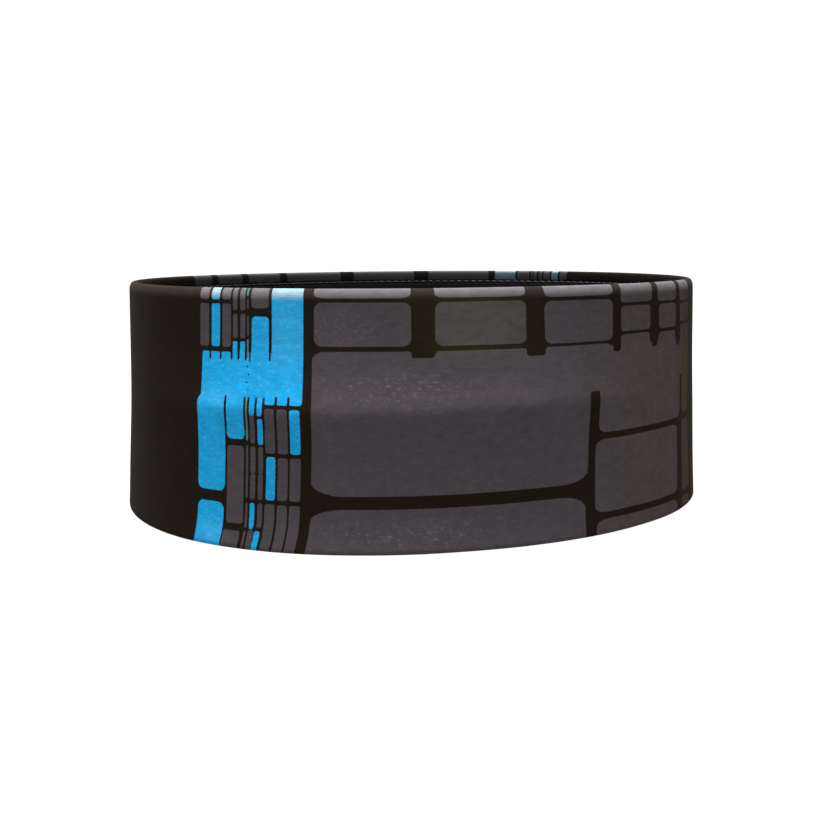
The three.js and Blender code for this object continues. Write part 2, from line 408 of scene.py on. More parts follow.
grey_bars = stack(-84.8, -81.85, [(49.8, 60.2), TOP_ROW])
grey_bars += stack(-77.7, -75.1, [(49.8, 60.2), TOP_ROW])
for left, right in ((-74.5, -73.2), (-72.4, -71.0)):
    grey_bars += stack(left, right, [(52.0, 57.9), (58.7, OVER)], 0.3)
grey_bars += [cell(-69.3, -64.6, 59.3, OVER, 0.8)]
grey_bars += [cell(-75.8, -71.0, 6.4, 25.9, 0.8), cell(-76.3, -71.4, UNDER, 4.6, 0.6)]
grey_bars += stack(-69.2, -67.8, [(26.8, 33.3), (19.6, 26.0), (12.8, 19.1), (UNDER, 5.1)], 0.3)
grey_bars += stack(-67.1, -65.8, [(19.6, 26.0), (12.8, 19.1), (5.9, 11.9)], 0.3)
grey_bars += stack(-65.2, -62.6, [(24.5, 35.5), (UNDER, 11.9)])
grey_bars += stack(-62.0, -59.4, [(24.5, 35.5), (12.9, 23.5), (UNDER, 11.8)])
grey_bars += stack(-58.9, -56.2, [(12.9, 23.5), (UNDER, 11.8)])
grey_bars += stack(-70.4, -69.8, [(UNDER, 4.8), (5.6, 12.0), (12.9, 26.2)], 0.2)
grey_bars += stack(-70.5, -70.0, [(52.6, 57.6), (58.9, 61.6)], 0.2)
mint_bars = stack(-70.5, -70.05, [(47.2, 51.8), (62.2, OVER)], 0.2)
mint_bars += stack(-70.3, -69.7, [(27.4, 37.0)], 0.2)

# Black ticks reach into the belt from above and below, and a few dots cross it.
ticks = [cell(x - 0.3, x + 0.3, 46.6, 50.2, 0.1) for x in (-81.4, -78.1, -74.8, -72.8, -70.75)]
ticks += [cell(-69.8, -69.4, 46.4, 58.0, 0.1), cell(-64.5, -64.0, 46.6, 58.0, 0.1)]
ticks += [cell(x - 0.3, x + 0.3, 30.0, 38.2, 0.1) for x in (-76.0, -70.45, -69.4, -67.35, -65.35)]
ticks += [cell(x - 0.3, x + 0.3, 34.0, 38.4, 0.1) for x in (-62.2, -59.1)]
dot_places = ((-70.2, 45.3), (-69.8, 43.4), (-70.2, 41.6), (-69.8, 39.8))
dots = [cell(x - 0.25, x + 0.25, z - 0.3, z + 0.3, 0.2) for x, z in dot_places]
print(f"{len(blue_cells)} blue cells, {len(grey_bars)} narrow charcoal bars")

# %% [markdown]
# ### The large cells
# Away from the bars the cells are as wide as a hand. Where two black lines meet, the corners are long
# quarter ellipses, so the lines swell at their ends like drawn-out glue. Some upright lines stop short
# with a square end, and these are cut out of the cells afterwards.

# %% Large cells
charcoal = [cell(*edges) for edges in (
    (-53.2, -30.0, 61.8, OVER, 2.2, 1.0), (-24.3, -0.8, 61.8, OVER, 2.2, 1.0),
    (4.3, 25.9, 61.4, OVER, 2.2, 1.0), (28.9, 42.2, 59.3, OVER, 1.2, 0.8),
    (45.0, 56.0, 59.1, OVER, 1.2, 0.8), (58.8, 67.4, 58.6, OVER, 1.2, 0.8),
    (-53.2, -30.0, 50.4, 60.8, 1.8), (-24.2, -0.8, 50.4, 60.8, 1.8),
    (4.3, 25.9, 50.0, 60.4, 1.8), (29.0, 41.5, 52.0, 58.4, 0.8),
    (45.8, 55.8, 51.8, 58.3, 1.2), (59.0, 67.4, 53.0, 57.9, 0.8),
    (-53.6, 17.1, 14.4, 49.2, 8.0, 3.4), (-53.6, 26.5, 37.5, 49.2, 3.5, 1.8),
    (10.0, 67.4, 37.5, 48.6, 2.5, 1.6), (28.9, 41.2, 40.0, 51.2, 1.0),
    (45.6, 55.4, 40.0, 50.9, 1.0),
    (59.2, 67.4, 44.0, 52.2, 0.8),
    (20.4, 59.2, 26.7, 45.0, 3.0, 1.6), (61.1, 67.4, 27.4, 45.0, 1.2),
    (19.5, 57.2, 6.0, 25.0, 3.0, 2.0), (60.9, 67.4, 5.6, 25.6, 1.2),
    (-53.6, 16.3, UNDER, 11.2, 8.0, 3.2), (19.8, 57.0, UNDER, 4.2, 4.0, 1.8),
    (60.9, 67.4, UNDER, 3.9, 1.2),
)]
posts = [cell(*edges) for edges in (
    (-30.0, -24.4, 47.6, OVER, 0.4), (-0.9, 4.3, 47.3, OVER, 0.4),
    (26.0, 28.9, 47.0, OVER, 0.4), (42.4, 44.9, 47.2, OVER, 0.4),
    (41.4, 45.8, 50.0, 54.5, 2.0, 2.2), (56.1, 58.6, 46.6, OVER, 0.5),
    (17.1, 20.4, 25.0, 37.6, 0.4), (59.2, 61.1, 20.0, 38.5, 0.4),
)]
print(f"{len(charcoal)} large cells and {len(posts)} square-ended posts")

# %% [markdown]
# ## The printed knit
# The cells are measured at every point of the grid and kept as three numbers: the distance to the
# edge of the nearest cell, the distance to the nearest blue, and the same for the pale green slivers.
# Three more say where the dye has taken warmer or more olive, as it does across the real cloth, and where
# the colour is made browner round one place. Two say how far a point is over the upper edge, where a
# painted highlight goes that is partly the pale base of the stretched print, and how far inside its turn,
# where the print is given painted shade. The last two say whether it is high on the wall, where the dye is
# deeper, and how much loose fibre lies there, a mask that also lays painted highlights on the crease and
# near the hem.
# These could be painted by hand, but as numbers they are worked out in one go and stay smooth.

# %% Build the printed knit
DRIFT, DRIFT_TOP = 1.1, 34.0         # how far the print is dragged sideways below the crease
HEM_DRIFT, HEM_DRIFT_TOP = 1.2, 9.0  # and how much more near the hem
DRAGGED = 5.0, -55.0                 # places between which the drag comes on
WARM = 5.0, 50.0                     # places between which the dye turns warmer
# BROWN_MIDDLE and BROWN_REACH: the place round which the colour is made browner.
BROWN_MIDDLE, BROWN_REACH, OLIVE_MIDDLE, OLIVE_REACH = 68.0, 11.0, -14.0, 24.0
OLIVE_UP, UPPER, FOLD_STRETCH_AND_HIGHLIGHT = (46.0, 50.0), (46.0, 52.0), (61.0, 62.6)   # heights between which each comes on
# Heights inside the upper turn, where the print is given painted shade.
TURNED_IN = HEIGHT + 0.3, HEIGHT + 1.1
LINT_AND_HIGHLIGHT_PATCHES = (                     # where loose fibres gather, with painted highlights on the crease and near the hem: place, height, and reach each way
    (-34.0, 40.0, 32.0, 8.0), (-46.0, 54.0, 12.0, 7.0), (-30.0, 5.0, 34.0, 6.0),
    (-60.0, 52.0, 9.0, 14.0), (-80.0, 37.6, 12.0, 4.0), (-81.0, 3.5, 9.0, 4.0),
    (95.0, 44.0, 30.0, 12.0), (190.0, 30.0, 36.0, 14.0),
)


def print_numbers(place, z):
    """Signed distances of any cell, of blue and of pale green, then how warm, brown and olive the colour
    is, how far over the upper edge a point is, where a painted highlight partly stands for the pale
    stretched print, how far inside the turn, where painted shade goes, and up the band, and how much loose
    fibre and painted highlight lies there."""
    u = to_print(place)
    pulled = DRIFT * ease(z, DRIFT_TOP, 0.0) + HEM_DRIFT * np.clip(1 - z / HEM_DRIFT_TOP, 0, 1) ** 2
    u = u + pulled * ease(u, *DRAGGED)
    blue, mint = nearest(u, z, blue_cells), nearest(u, z, mint_bars)
    ink = np.minimum(np.minimum(blue, mint), nearest(u, z, grey_bars + charcoal))
    ink = np.maximum(ink, -nearest(u, z, ticks + dots + posts))
    warm, brown = ease(u, *WARM), ease(1.3 - np.abs(place - BROWN_MIDDLE) / BROWN_REACH)
    olive = ease(1 - np.abs(u - OLIVE_MIDDLE) / OLIVE_REACH) * ease(z, *OLIVE_UP)
    # Two masks: the upper edge, for a painted highlight that is partly the pale base of the stretched
    # print, and the turned-in print, for painted shade.
    fold_stretch_and_highlight, inside = ease(z, *FOLD_STRETCH_AND_HIGHLIGHT), ease(z, *TURNED_IN)
    upper = ease(z, *UPPER) * (1 - fold_stretch_and_highlight)
    # Loose fibre in patches; the same mask also lays painted highlights on the crease and near the hem.
    lint_and_highlight = sum(
        ease(1 - np.hypot((place - at) / wide, (z - up) / tall)) for at, up, wide, tall in LINT_AND_HIGHLIGHT_PATCHES
    )
    return ink, blue, mint, warm, brown, olive, fold_stretch_and_highlight, inside, upper, lint_and_highlight


def closed_grid(depth, height, places):
    """The section carried round the band: one row for each point of the section."""
    return band_points(direction_at(places)[None, :], depth[:, None], height[:, None])


outer_points = closed_grid(section_depth, section_height, columns)
run = np.concatenate([face_run, np.interp(np.linspace(1, 0, len(back_depth)), [0, 1], [0, OUTER_CUT])])
round_uv, run_uv = np.append(columns, columns[0] + ROUND), np.append(run, 0)
outer_uv = np.stack(np.meshgrid(round_uv, run_uv), axis=-1)
outer_knit = surface("outer_knit", outer_points, outer_uv, close_rows=True, close_columns=True)

# The print's own height runs on past each edge, so that the turned-in cloth carries it too.
crest = np.argmax(face_height)
foot = np.argmin(face_height)
print_height = face_height.copy()
print_height[crest:] = HEIGHT + face_run[crest:] - face_run[crest]
print_height[:foot] = face_run[:foot] - face_run[foot]
hidden_print = np.interp(back_height, face_height[foot:crest], print_height[foot:crest])
print_height = there_and_back(print_height, hidden_print)
KEPT = ("ink", "blue", "mint", "warm", "brown", "olive", "fold_stretch_and_highlight", "inside", "upper", "lint_and_highlight")
for name, values in zip(KEPT, print_numbers(*np.meshgrid(columns, print_height))):
    number_on_points(outer_knit, name, values)

# %% [markdown]
# ## Materials made of nodes
# All the cloths are dyed or printed polyester knit: matt, with a soft sheen at a glancing angle, and
# rows of tiny loops. `socket_of` makes one node and returns its output, so that a material reads as a
# list of steps. Numbers that are the same all over are set on the shader itself.


# %% Node helpers
def new_material(name, **shader_values):
    """An empty material with one Principled shader whose fixed numbers are set on its own sockets."""
    material = bpy.data.materials.new(name)
    material.use_nodes = True
    tree = material.node_tree
    shader = next(n for n in tree.nodes if n.type == "BSDF_PRINCIPLED")
    for label, value in shader_values.items():
        shader.inputs[label.replace("_", " ")].default_value = value
    return material, tree, shader


def put(tree, target, value):
    """Links a socket to another, or sets its number."""
    if isinstance(value, bpy.types.NodeSocket):
        tree.links.new(value, target)
    else:
        target.default_value = value


def socket_of(tree, kind, *values, out=0, **settings):
    """Makes a node, gives its first inputs these values, and returns one of its outputs."""
    node = tree.nodes.new(kind)
    for label, value in settings.items():
        setattr(node, label, value)
    for target, value in zip([s for s in node.inputs if s.enabled], values):
        if value is not None:
            put(tree, target, value)
    return node.outputs[out]


def calc(tree, operation, *values):
    """One step of arithmetic."""
    return socket_of(tree, "ShaderNodeMath", *values, operation=operation)


def mix(tree, factor, first, second):
    """Goes from the first colour to the second."""
    node = tree.nodes.new("ShaderNodeMix")
    node.data_type = "RGBA"
    for target, value in zip((node.inputs[0], node.inputs[6], node.inputs[7]), (factor, first, second)):
        put(tree, target, value)
    return node.outputs[2]


def layered(tree, colour, *layers):
    """Lays more colours over a first one, each by its own factor."""
    for factor, over in layers:
        colour = mix(tree, factor, colour, over)
    return colour


def kept_number(tree, name):
    """Reads a number kept on the points of the mesh."""
    return socket_of(tree, "ShaderNodeAttribute", attribute_name=name, out=2)


def noise(tree, vector, across, along, detail):
    """Smooth noise between 0 and 1, with about this many waves a metre across and along the cloth."""
    stretch = tree.nodes.new("ShaderNodeVectorMath")
    stretch.operation = "MULTIPLY"
    put(tree, stretch.inputs[0], vector)
    stretch.inputs[1].default_value = (across, along, 1.0)
    node = tree.nodes.new("ShaderNodeTexNoise")
    put(tree, node.inputs["Vector"], stretch.outputs[0])
    node.inputs["Scale"].default_value = 1.0
    node.inputs["Detail"].default_value = detail
    return node.outputs["Fac"]


def between(tree, value, start, end):
    """Rises smoothly from 0 where a number is at its start to 1 where it is at its end."""
    node = tree.nodes.new("ShaderNodeMapRange")
    node.interpolation_type = "SMOOTHSTEP"
    put(tree, node.inputs["Value"], value)
    node.inputs["From Min"].default_value = start
    node.inputs["From Max"].default_value = end
    return node.outputs["Result"]


# %% [markdown]
# ### Knit loops
# A plain knit shows upright ribs of small V-shaped loops. Across one rib the surface is a hump, and
# along it the loops come in a wave that runs ahead at the rib's edges, which draws the V. It could be
# modelled loop by loop, but a band has well over 100,000 loops, so this is a bump.

# %% Loops of the knit
RIB, LOOP = 0.00055, 0.00042   # metres: rib to rib, and loop to loop


def knit_height(tree, uv):
    """A hump across each rib, times a wave along it that runs ahead towards the rib's edges. The ribs
    wander a little, as they do in real knit."""
    parts = tree.nodes.new("ShaderNodeSeparateXYZ")
    put(tree, parts.inputs[0], uv)
    wander = calc(tree, "MULTIPLY", noise(tree, uv, 260, 90, 2.0), 1.6)
    across = calc(tree, "FRACT", calc(tree, "ADD", calc(tree, "DIVIDE", parts.outputs[0], RIB), wander))
    from_middle = calc(tree, "ABSOLUTE", calc(tree, "MULTIPLY_ADD", across, 2.0, -1.0))
    rib = calc(tree, "SUBTRACT", 1.0, calc(tree, "POWER", from_middle, 2.0))
    turns = calc(tree, "MULTIPLY_ADD", from_middle, 0.5, calc(tree, "DIVIDE", parts.outputs[1], LOOP))
    wave = calc(tree, "SINE", calc(tree, "MULTIPLY", turns, math.tau))
    return calc(tree, "MULTIPLY", rib, calc(tree, "MULTIPLY_ADD", wave, 0.3, 0.7))


def bumped(tree, shader, height, distance, strength):
    """Gives the shader a bump of this depth in metres."""
    bump = tree.nodes.new("ShaderNodeBump")
    put(tree, bump.inputs["Height"], height)
    bump.inputs["Distance"].default_value = distance
    bump.inputs["Strength"].default_value = strength
    tree.links.new(bump.outputs["Normal"], shader.inputs["Normal"])


print(f"about {round(ROUND * MM / RIB) * round(OUTER_CUT * MM / LOOP)} loops in the printed knit")

# %% [markdown]
# ### The printed finish
# Dye soaks along the loops, so the edge of a cell wanders by a small part of a loop. The tone changes
# slowly over the cloth, fine streaks follow the courses of the knit, and pale flecks of fibre lie on it.
# Light is painted in as well: a painted highlight over the upper edge, partly the pale base of the
# stretched print, painted highlights with the loose fibre on the crease and near the hem, painted shade on
# the turned-in print, and slightly darker painted dips between the loops. A picture of the print could be
# wrapped round the band instead, but it would blur close up.

# %% Printed knit material
BLACK_DYE = (0.0074, 0.0050, 0.0033, 1)
OLIVE_DYE = (0.0125, 0.0112, 0.0050, 1)
BROWN_GROUND = (0.0130, 0.0085, 0.0050, 1)
CHARCOAL_COOL = (0.0372, 0.0318, 0.0355, 1)
CHARCOAL_WARM = (0.0375, 0.0300, 0.0290, 1)
CHARCOAL_BROWN = (0.0290, 0.0200, 0.0135, 1)
CHARCOAL_OLIVE = (0.0435, 0.0408, 0.0372, 1)
# Painted highlight colour for charcoal over the upper edge, partly the pale base of the stretched print.
CHARCOAL_STRETCH_AND_HIGHLIGHT = (0.0770, 0.0725, 0.0765, 1)
# Pale fibre on charcoal, also used as a painted highlight where the crease and hem patches lie.
PALE_FIBRE_AND_HIGHLIGHT = (0.0900, 0.0800, 0.0850, 1)
# Painted highlight colour for the black ground over the upper edge, partly the pale base of the stretched
# print.
BLACK_STRETCH_AND_HIGHLIGHT = (0.0150, 0.0115, 0.0090, 1)
BLUE_DYE = (0.0060, 0.1820, 0.3650, 1)
# Paler blue for flecks of fibre, and a painted highlight on the blue crest of the crease and near the hem.
BLUE_FLECK_AND_HIGHLIGHT = (0.0750, 0.2450, 0.4150, 1)
# Painted highlight colour for blue over the upper edge, partly the pale base of the stretched print.
BLUE_STRETCH_AND_HIGHLIGHT = (0.1500, 0.2300, 0.2700, 1)
MINT_DYE = (0.0480, 0.1050, 0.1020, 1)
SHADED_INSIDE = 0.16       # how much of its light the turned-in print keeps
UPPER_DARKER = 0.09        # the dye is a little deeper near the upper edge
SOAK = 0.22                # millimetres over which the dye's edge wanders
EDGE = 0.09                # half the width of a cell's soft edge, in millimetres
BLUE_REACH, MINT_REACH = (0.30, 0.18), (0.20, 0.10)   # a cell's own colour ends just outside its edge
STREAKS, MOTTLE, PATCHES = 0.30, 0.24, 0.36   # how much each changes the tone


def printed_knit():
    """Black ground with charcoal, blue and pale green cells, cut from the kept distances, with painted
    highlights and painted shade laid over them.
    """
    material, tree, shader = new_material(
        "printed_knit", Roughness=0.95, Sheen_Weight=0.006, Sheen_Roughness=0.4, Specular_IOR_Level=0.018
    )
    kept = (kept_number(tree, name) for name in KEPT)
    ink, blue, mint, warm, brown, olive, fold_stretch_and_highlight, inside, upper, lint_and_highlight = kept
    uv = socket_of(tree, "ShaderNodeUVMap", uv_map="cloth")
    loops = knit_height(tree, uv)
    soak = noise(tree, uv, 1900, 2300, 1.0)
    soaked = calc(tree, "ADD", ink, calc(tree, "MULTIPLY_ADD", soak, SOAK, -SOAK / 2))
    in_cell = between(tree, soaked, EDGE, -EDGE)
    is_blue, is_mint = between(tree, blue, *BLUE_REACH), between(tree, mint, *MINT_REACH)
    streaks = noise(tree, uv, 300, 2400, 3.0)
    mottle = noise(tree, uv, 90, 150, 3.0)
    patches = noise(tree, uv, 330, 520, 1.0)
    flecks = between(tree, noise(tree, uv, 800, 1150, 2.0), 0.50, 0.80)
    # Pale flecks on the charcoal, stronger in the patches: loose fibre, and painted highlight.
    fibre_and_highlight_share = calc(tree, "MULTIPLY", flecks, calc(tree, "MULTIPLY_ADD", lint_and_highlight, 0.5, 0.10))
    shades = ((warm, CHARCOAL_WARM), (brown, CHARCOAL_BROWN), (olive, CHARCOAL_OLIVE))
    # Over the upper edge each colour goes paler: a painted highlight, partly the pale base of the stretched
    # print.
    charcoal_dye = layered(tree, CHARCOAL_COOL, *shades, (fibre_and_highlight_share, PALE_FIBRE_AND_HIGHLIGHT), (fold_stretch_and_highlight, CHARCOAL_STRETCH_AND_HIGHLIGHT))
    # Paler blue in flecks and in the patches: loose fibre, and painted highlight.
    pale = calc(tree, "ADD", calc(tree, "MULTIPLY", flecks, 0.42), calc(tree, "MULTIPLY", lint_and_highlight, 0.18))
    blue_dye = layered(tree, BLUE_DYE, (pale, BLUE_FLECK_AND_HIGHLIGHT), (fold_stretch_and_highlight, BLUE_STRETCH_AND_HIGHLIGHT))
    cloth = layered(tree, charcoal_dye, (is_blue, blue_dye), (is_mint, MINT_DYE))
    ground = layered(tree, BLACK_DYE, (olive, OLIVE_DYE), (brown, BROWN_GROUND), (fold_stretch_and_highlight, BLACK_STRETCH_AND_HIGHLIGHT))
    dyed = mix(tree, in_cell, ground, cloth)
    uneven = calc(tree, "MULTIPLY_ADD", streaks, STREAKS, calc(tree, "MULTIPLY", mottle, MOTTLE))
    uneven = calc(tree, "MULTIPLY_ADD", patches, PATCHES, uneven)
    # Rib tops a little lighter than the dips between the loops: painted shade in the dips, beside the bump.
    light = calc(tree, "MULTIPLY_ADD", loops, 0.05, calc(tree, "ADD", uneven, 0.525))
    # Brighter in the patches: a painted highlight along with the loose fibre.
    light = calc(tree, "MULTIPLY_ADD", lint_and_highlight, 0.05, light)
    # Painted shade: the turned-in print keeps only part of its light.
    share = calc(tree, "MULTIPLY_ADD", inside, SHADED_INSIDE - 1.0, 1.0)
    share = calc(tree, "MULTIPLY_ADD", upper, -UPPER_DARKER, share)
    light = calc(tree, "MULTIPLY", light, share)
    shade = tree.nodes.new("ShaderNodeVectorMath")
    shade.operation = "SCALE"
    put(tree, shade.inputs[0], dyed)
    put(tree, shade.inputs["Scale"], light)
    put(tree, shader.inputs["Base Color"], shade.outputs[0])
    height = calc(tree, "ADD", loops, calc(tree, "MULTIPLY", streaks, 0.8))
    bumped(tree, shader, height, 0.00003, 0.4)
    return material


print_finish = printed_knit()
outer_knit.data.materials.append(print_finish)
print(f"the print's finish has {len(print_finish.node_tree.nodes)} nodes")

# %% [markdown]
# ## The lining
# The lining is a second, plain black tube a little shorter than the band. Both its edges are stepped
# back and tucked in behind the turned-in print, where the seam catches them, so nothing raw touches
# the forehead. A plain ring would do for the little that shows, but a section that goes up the inside
# and hooks outwards at both ends lets the seams have something to hold.

# %% Build the lining
LINING_LOW = LOWER_SEAM + GROOVE / 2
TUCK_DEPTH = 1.25
TUCK_RUN = 1.5             # how far the tucked edge goes on towards the band's edge
TUCK_ROUND = 0.6
LINING_ROWS, LINING_COLUMNS = 60, 420


def lining_path(wall_rows):
    """From the lower raw edge in, round a small bend, up the wall, and back out to the upper raw edge."""
    bend = np.linspace(0, math.pi / 2, 5)
    tuck_depth = np.append([TUCK_DEPTH, TUCK_DEPTH], WALL - TUCK_ROUND + TUCK_ROUND * np.sin(bend))
    round_bend = LINING_LOW + TUCK_ROUND - TUCK_ROUND * np.cos(bend)
    tuck_height = np.append([LINING_LOW - TUCK_RUN, LINING_LOW - 0.2], round_bend)
    wall = np.linspace(tuck_height[-1], HEIGHT - tuck_height[-1], wall_rows)[1:-1]
    depth = np.concatenate([tuck_depth, np.full(len(wall), WALL), tuck_depth[::-1]])
    height = np.concatenate([tuck_height, wall, HEIGHT - tuck_height[::-1]])
    return depth, height


lining_depth, lining_height = lining_path(LINING_ROWS)
lining_run = along_path(lining_depth, lining_height)
hidden_depth, hidden_height = moved_in(lining_depth, lining_height, -LINING_CLOTH)
lining_section = there_and_back(lining_depth, hidden_depth), there_and_back(lining_height, hidden_height)
lining_places = np.linspace(-ROUND / 2, ROUND / 2, LINING_COLUMNS, endpoint=False)
lining_points = closed_grid(*lining_section, lining_places)
lining_rows = np.append(there_and_back(lining_run, lining_run), 0)
lining_uv = np.stack(np.meshgrid(np.append(lining_places, ROUND / 2), lining_rows), axis=-1)
lining = surface("lining_knit", lining_points, lining_uv, close_rows=True, close_columns=True)

# %% Lining material
# Darker dips between the ribs: painted shade.
LINING_SHADED_DIPS, LINING_LIT_RIBS = (0.0010, 0.0009, 0.0010, 1), (0.0050, 0.0046, 0.0052, 1)


def plain_knit():
    """A black knit with its loops, its ribs a little paler than the dips, which is painted shade in the
    dips, and a soft mottle.
    """
    material, tree, shader = new_material(
        "lining_knit", Roughness=0.88, Sheen_Weight=0.01, Sheen_Roughness=0.5, Specular_IOR_Level=0.03
    )
    uv = socket_of(tree, "ShaderNodeUVMap", uv_map="cloth")
    loops = knit_height(tree, uv)
    mottle = noise(tree, uv, 220, 500, 3.0)
    ribs = calc(tree, "MULTIPLY_ADD", loops, 0.6, 0.2)
    share = calc(tree, "MULTIPLY", ribs, calc(tree, "ADD", mottle, 0.4))
    put(tree, shader.inputs["Base Color"], mix(tree, share, LINING_SHADED_DIPS, LINING_LIT_RIBS))
    bumped(tree, shader, loops, 0.00004, 0.6)
    return material


lining.data.materials.append(plain_knit())

# %% [markdown]
# ## The seams
# A lockstitch seam joins the print to the lining just inside each edge. Its thread rises over the knit
# and dips into it at every stitch, so the thread here is a round tube along a wave. The raw edges
# behind it are bound with a looser looping thread, an overlock, which is hidden but is there.

# %% Stitches round the band
THREAD = 0.42
SEAM_WAVE = 0.12, 0.05, 2.6, THREAD    # dip, sway, length of a stitch, and thickness
OVERLOCK_WAVE = 0.22, 0.42, 1.9, 0.3
SEAM_DEPTH, OVERLOCK_DEPTH = WALL - 0.28, 1.45
POINTS_A_STITCH = 6


def round_thread(name, depth, height, dip, sway, stitch, thickness):
    """A closed thread round the band: its depth goes as a wave with `dip`, and its height with `sway`."""
    stitches = round(ROUND / stitch)
    count = stitches * POINTS_A_STITCH
    phase = np.arange(count) / count * stitches * math.tau
    direction = direction_at(np.linspace(-ROUND / 2, ROUND / 2, count, endpoint=False))
    line = band_points(direction, depth + dip * np.cos(phase), height + sway * np.sin(phase))
    _, _, out_x, out_y = oval(direction)
    outward = np.stack([out_x, out_y, np.zeros(count)], axis=-1)
    print(f"{name}: {stitches} stitches")
    return thread(name, line, outward, thickness, closed=True)


seams = [
    round_thread(f"{side}_seam_stitches", SEAM_DEPTH, height, *SEAM_WAVE)
    for side, height in (("lower", LOWER_SEAM), ("upper", UPPER_SEAM))
]
overlocks = [
    round_thread(name, OVERLOCK_DEPTH, middle_height(name + "_thread"), *OVERLOCK_WAVE)
    for name in ("lower_overlock", "upper_overlock")
]

# %% [markdown]
# ## The closing row
# The band is sewn inside out and turned through a gap in the lower seam. A short zigzag row then closes
# the gap by hand or machine. It is the one place where stitches lie on top of the knit. A curve with a
# round bevel could make it too, but the same `thread` as above keeps it on the band's own surface.

# %% The closing zigzag
CLOSING_MIDDLE, CLOSING_LENGTH, CLOSING_PITCH, CLOSING_REACH = math.radians(50), 50.0, 4.0, 1.4
CLOSING_PROUD, CLOSING_BITE = 0.22, 0.16   # how far it stands off the lining, and comes in at its corners
ROUNDING = 0.75


def zigzag(points, count):
    """Between corner points, a line that is straight in the middle of each leg and round at its ends."""
    place = np.linspace(0, len(points) - 1, count)
    leg = np.clip(place.astype(int), 0, len(points) - 2)
    share = place - leg
    share = ROUNDING * ease(share) + (1 - ROUNDING) * share
    return points[leg] * (1 - share[:, None]) + points[leg + 1] * share[:, None]


def closing_row():
    """Corners alternate above and below the seam, round an arc of the inside face."""
    legs = 2 * round(CLOSING_LENGTH / CLOSING_PITCH)
    reach = np.linalg.norm(band_points(np.array([CLOSING_MIDDLE]), WALL, np.array([0.0]))[0])
    angle = CLOSING_MIDDLE + CLOSING_LENGTH / reach * (np.arange(legs + 1) / legs - 0.5)
    side = np.where(np.arange(legs + 1) % 2, 1.0, -1.0)
    corners = np.stack([angle, LOWER_SEAM + side * CLOSING_REACH], axis=-1)
    route = zigzag(corners, legs * 8 + 1)
    bite = CLOSING_BITE * np.abs(np.cos(np.linspace(0, legs, len(route)) * math.pi))
    line = band_points(route[:, 0], WALL + THREAD / 2 + CLOSING_PROUD - bite, route[:, 1])
    _, _, out_x, out_y = oval(route[:, 0])
    return thread("closing_zigzag", line, np.stack([out_x, out_y, 0 * out_x], axis=-1), THREAD)


closing = closing_row()

# %% Thread material
# Darker where the plies dip: painted shade.
THREAD_SHADED_DIPS, THREAD_LIT_PLIES = (0.006, 0.006, 0.007, 1), (0.022, 0.021, 0.023, 1)


def spun_thread():
    """Black sewing thread: two plies that wind round each other, with a slight lustre, and painted shade
    where they dip.
    """
    material, tree, shader = new_material(
        "sewing_thread", Roughness=0.55, Sheen_Weight=0.2, Sheen_Roughness=0.4, Specular_IOR_Level=0.4
    )
    place = tree.nodes.new("ShaderNodeTexCoord").outputs["Object"]
    plies = noise(tree, place, 5200, 5200, 1.0)
    put(tree, shader.inputs["Base Color"], mix(tree, plies, THREAD_SHADED_DIPS, THREAD_LIT_PLIES))
    bumped(tree, shader, plies, 0.00006, 0.8)
    return material


thread_finish = spun_thread()
for piece in seams + overlocks + [closing]:
    piece.data.materials.append(thread_finish)

# %% [markdown]
# ## The care label
# A folded loop of satin tape is caught in the seam at the middle of the back, inside. The tape comes
# up, turns over in a small round bend and goes down again, and its free end curls a little off the
# lining. It could be cloth dropped by a simulation, but a path and a curl are enough for so short a
# tape. It is left blank.

# %% Build the care label
label_low, label_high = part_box("care_label")
LABEL_LEFT, LABEL_RIGHT = label_low.x / MM, label_high.x / MM
LABEL_FOOT, LABEL_TOP = label_low.z / MM, label_high.z / MM
LABEL_NEAR, LABEL_FAR = label_low.y / MM, label_high.y / MM
TAPE = 0.28
CURL, RIPPLE = 0.55, 0.12  # how far its free end stands off, and waves across
TAPE_ROWS, TAPE_COLUMNS = 22, 25


def label_path(rows):
    """Y and Z of the tape's middle: up the near side, half round, and down the far side."""
    bend = np.linspace(0, math.pi, 11)
    radius = (LABEL_FAR - LABEL_NEAR - TAPE) / 2
    top = LABEL_TOP - TAPE / 2 - radius
    up = np.linspace(LABEL_FOOT, top, rows)[:-1]
    near, far = LABEL_NEAR + TAPE / 2, LABEL_FAR - TAPE / 2
    over = near + radius - radius * np.cos(bend)
    y = np.concatenate([np.full(len(up), near), over, np.full(len(up), far)])
    z = np.concatenate([up, top + radius * np.sin(bend), up[::-1]])
    return y, z


label_y, label_z = label_path(TAPE_ROWS)
label_run = along_path(label_y, label_z)
label_x = np.linspace(LABEL_LEFT, LABEL_RIGHT, TAPE_COLUMNS)
out_y, out_z = moved_in(label_y, label_z, TAPE / 2)
in_y, in_z = moved_in(label_y, label_z, -TAPE / 2)
loop_y, loop_z = there_and_back(out_y, in_y), there_and_back(out_z, in_z)
rise = ease(loop_z, LABEL_FOOT + 3, LABEL_TOP + 3)
x_grid, y_grid = np.meshgrid(label_x, loop_y)
z_grid = np.repeat(loop_z[:, None], TAPE_COLUMNS, axis=1)
curl = rise[:, None] * (CURL * np.cos(label_x / 7.0 * 1.3) + RIPPLE * np.sin(label_x * 0.9))
label_grid = np.stack([x_grid, y_grid - curl, z_grid], axis=-1)
label_rows = np.append(there_and_back(label_run, label_run), 0)
label_uv = np.stack(np.meshgrid(label_x, label_rows), axis=-1)
label = surface("label_tape", label_grid, label_uv, close_rows=True)


